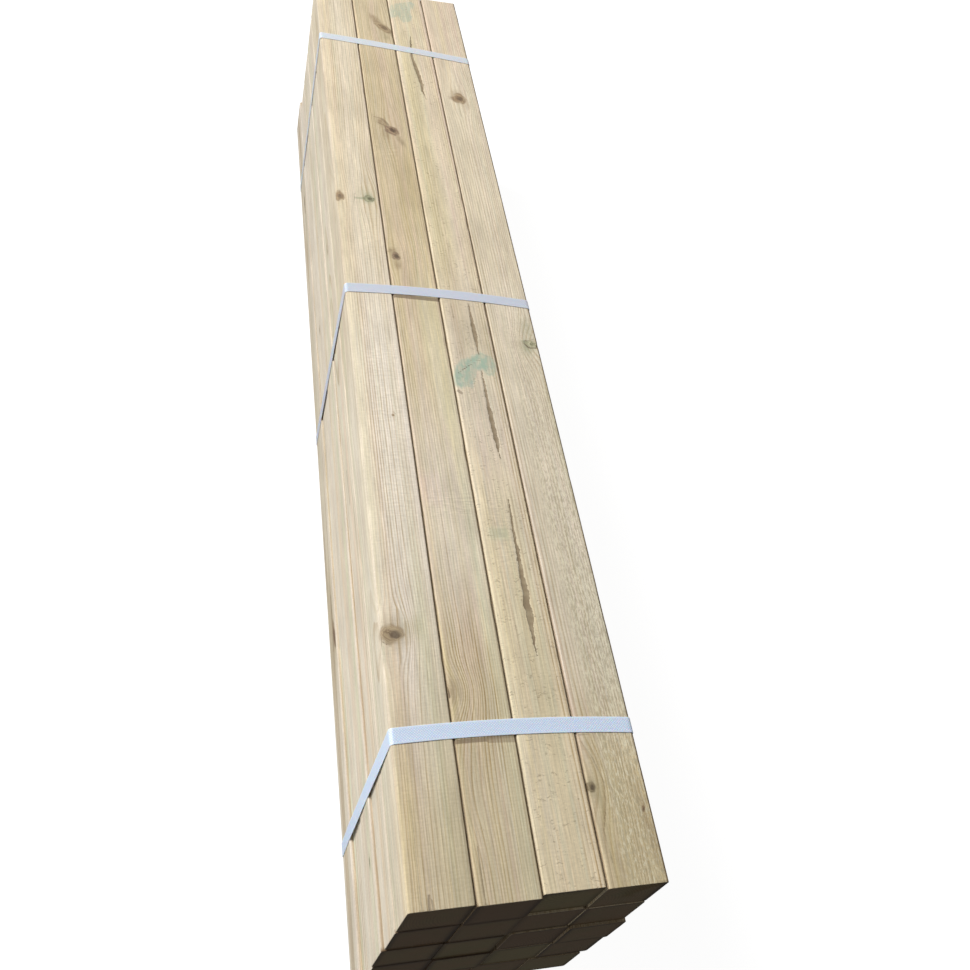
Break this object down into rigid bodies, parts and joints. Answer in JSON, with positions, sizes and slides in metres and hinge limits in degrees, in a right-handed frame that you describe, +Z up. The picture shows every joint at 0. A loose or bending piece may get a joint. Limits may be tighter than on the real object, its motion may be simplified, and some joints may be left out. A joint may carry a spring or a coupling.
{
  "type": "bundle of fence posts",
  "caption": "Bundle of square softwood fence posts stacked in rows and held by flat plastic straps, to rest on a floor or on another bundle.",
  "frame": {"origin": "on the floor, under the middle of the bundle's box", "axes": "+Y along the posts from the near end to the far end, +X across the bundle to the right seen from the near end, +Z up"},
  "size_m": [0.3046, 1.846, 0.3766],
  "materials": {
    "post_wood": "sawn, eased edges",
    "strap_plastic": "embossed"
  },
  "bodies": {
    "root": {"post_row1_col1": "post_wood", "post_row1_col2": "post_wood", "post_row1_col3": "post_wood", "post_row1_col4": "post_wood", "post_row2_col1": "post_wood", "post_row2_col2": "post_wood", "post_row2_col3": "post_wood", "post_row2_col4": "post_wood", "post_row3_col1": "post_wood", "post_row3_col2": "post_wood", "post_row3_col3": "post_wood", "post_row3_col4": "post_wood", "post_row4_col1": "post_wood", "post_row4_col2": "post_wood", "post_row4_col3": "post_wood", "post_row4_col4": "post_wood", "post_row5_col1": "post_wood", "post_row5_col2": "post_wood", "post_row5_col3": "post_wood", "post_row5_col4": "post_wood", "strap_near": "strap_plastic", "strap_middle": "strap_plastic", "strap_far": "strap_plastic"}
  },
  "joints": []
}
